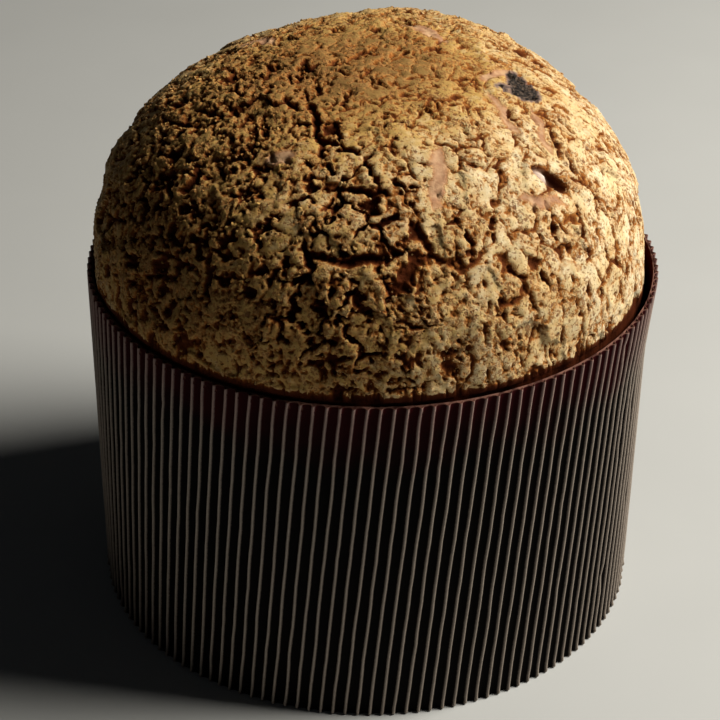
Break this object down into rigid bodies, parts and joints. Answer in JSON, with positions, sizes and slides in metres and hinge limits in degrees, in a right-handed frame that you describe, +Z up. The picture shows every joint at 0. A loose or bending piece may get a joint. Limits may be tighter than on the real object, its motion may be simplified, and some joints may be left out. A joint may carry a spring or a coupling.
{
  "type": "panettone",
  "caption": "Tall domed sweet bread with a cracked glazed crust, baked in a straight fluted paper case that it still stands in.",
  "frame": {"origin": "centre of the case's flat underside, on the surface that it stands on", "axes": "+Z up through the dome, -Y towards the pictured front, +X to the right in the picture"},
  "size_m": [0.1732, 0.1712, 0.1786],
  "materials": {
    "crust": null,
    "paper": "dark brown corrugated baking paper with a slight sheen"
  },
  "bodies": {
    "root": {"loaf": "crust", "paper_case": "paper"}
  },
  "joints": []
}
